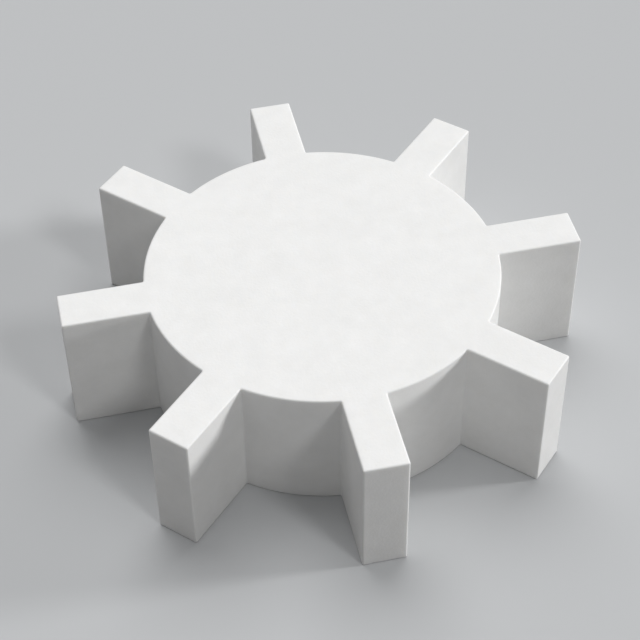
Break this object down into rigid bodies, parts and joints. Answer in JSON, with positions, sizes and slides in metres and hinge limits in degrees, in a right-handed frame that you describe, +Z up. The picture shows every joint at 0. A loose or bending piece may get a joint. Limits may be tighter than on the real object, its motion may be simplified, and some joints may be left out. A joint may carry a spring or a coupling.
{
  "type": "magnetic stir bar",
  "caption": "Flat gear-shaped stir bar for a magnetic stirrer: a white moulded body with blunt radial teeth, sealed round a bar magnet.",
  "frame": {"origin": "centre of the flat underside, on the gear's axis", "axes": "+Z up along the gear's axis, +X along one tooth and along the magnet"},
  "size_m": [0.03, 0.03, 0.008],
  "materials": {
    "ptfe": "satin",
    "magnet_alloy": "satin"
  },
  "bodies": {
    "root": {"ptfe_body": "ptfe", "bar_magnet": "magnet_alloy"}
  },
  "joints": []
}
